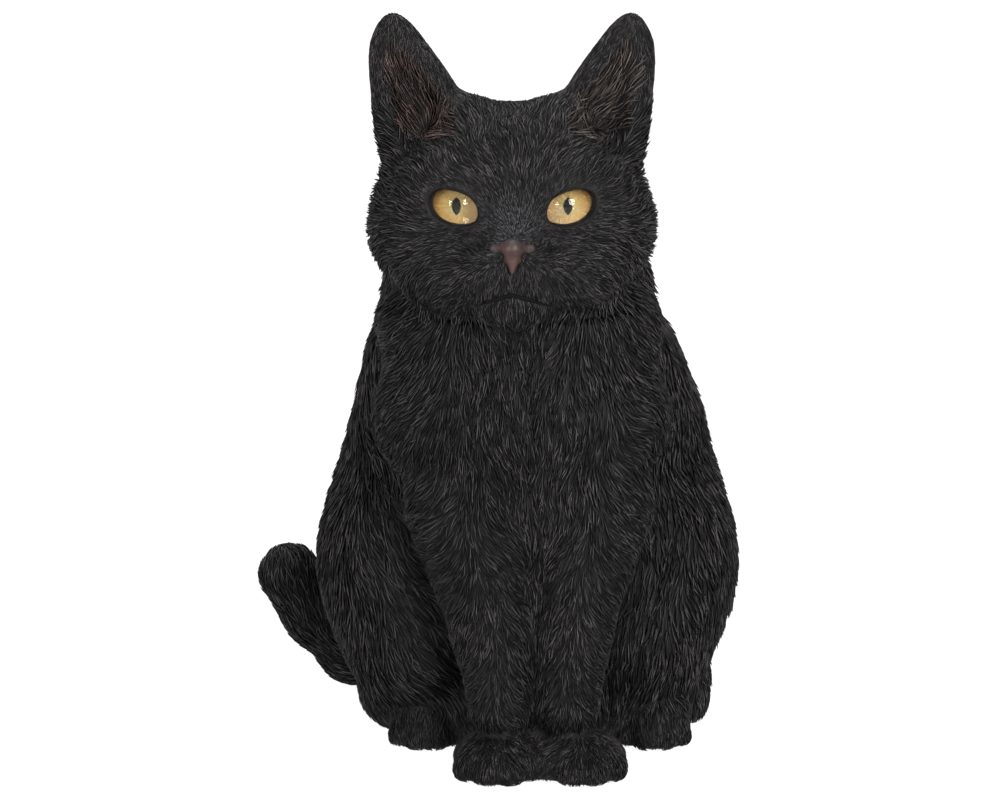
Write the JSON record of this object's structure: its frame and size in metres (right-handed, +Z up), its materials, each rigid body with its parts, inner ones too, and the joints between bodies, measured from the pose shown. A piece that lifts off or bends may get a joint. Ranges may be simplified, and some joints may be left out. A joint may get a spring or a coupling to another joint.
{
  "type": "cat figurine",
  "caption": "Sitting long-haired cat figurine, hollow ceramic castings with glass eyes, a vent stopper and felt pads, standing on a flat base.",
  "frame": {"origin": "on the body's middle plane, on the surface it stands on, on the bottom face of the rear felt pad", "axes": "+Z up, -Y the way the cat faces, +X the cat's left"},
  "size_m": [0.1906, 0.1714, 0.2806],
  "materials": {
    "body_ceramic": "matt cold-painted fur, charcoal with grey dry-brushed tips",
    "head_ceramic": "matt cold-painted fur, charcoal, with a brownish pink nose",
    "tail_ceramic": "matt cold-painted fur, charcoal with grey dry-brushed tips",
    "eye_glass": "clear polished glass",
    "iris_enamel": "amber yellow enamel",
    "pupil_enamel": "black enamel",
    "putty": "set putty",
    "stopper": "soft translucent plastic",
    "felt": "dark green felt"
  },
  "bodies": {
    "root": {"body_shell": "body_ceramic", "head_shell": "head_ceramic", "tail": "tail_ceramic", "left_eye_lens": "eye_glass", "right_eye_lens": "eye_glass", "left_eye_iris": "iris_enamel", "right_eye_iris": "iris_enamel", "left_eye_pupil": "pupil_enamel", "right_eye_pupil": "pupil_enamel", "left_eye_bed": "putty", "right_eye_bed": "putty", "vent_bung": "stopper", "rear_felt_pad": "felt", "front_felt_pads": "felt"}
  },
  "joints": []
}
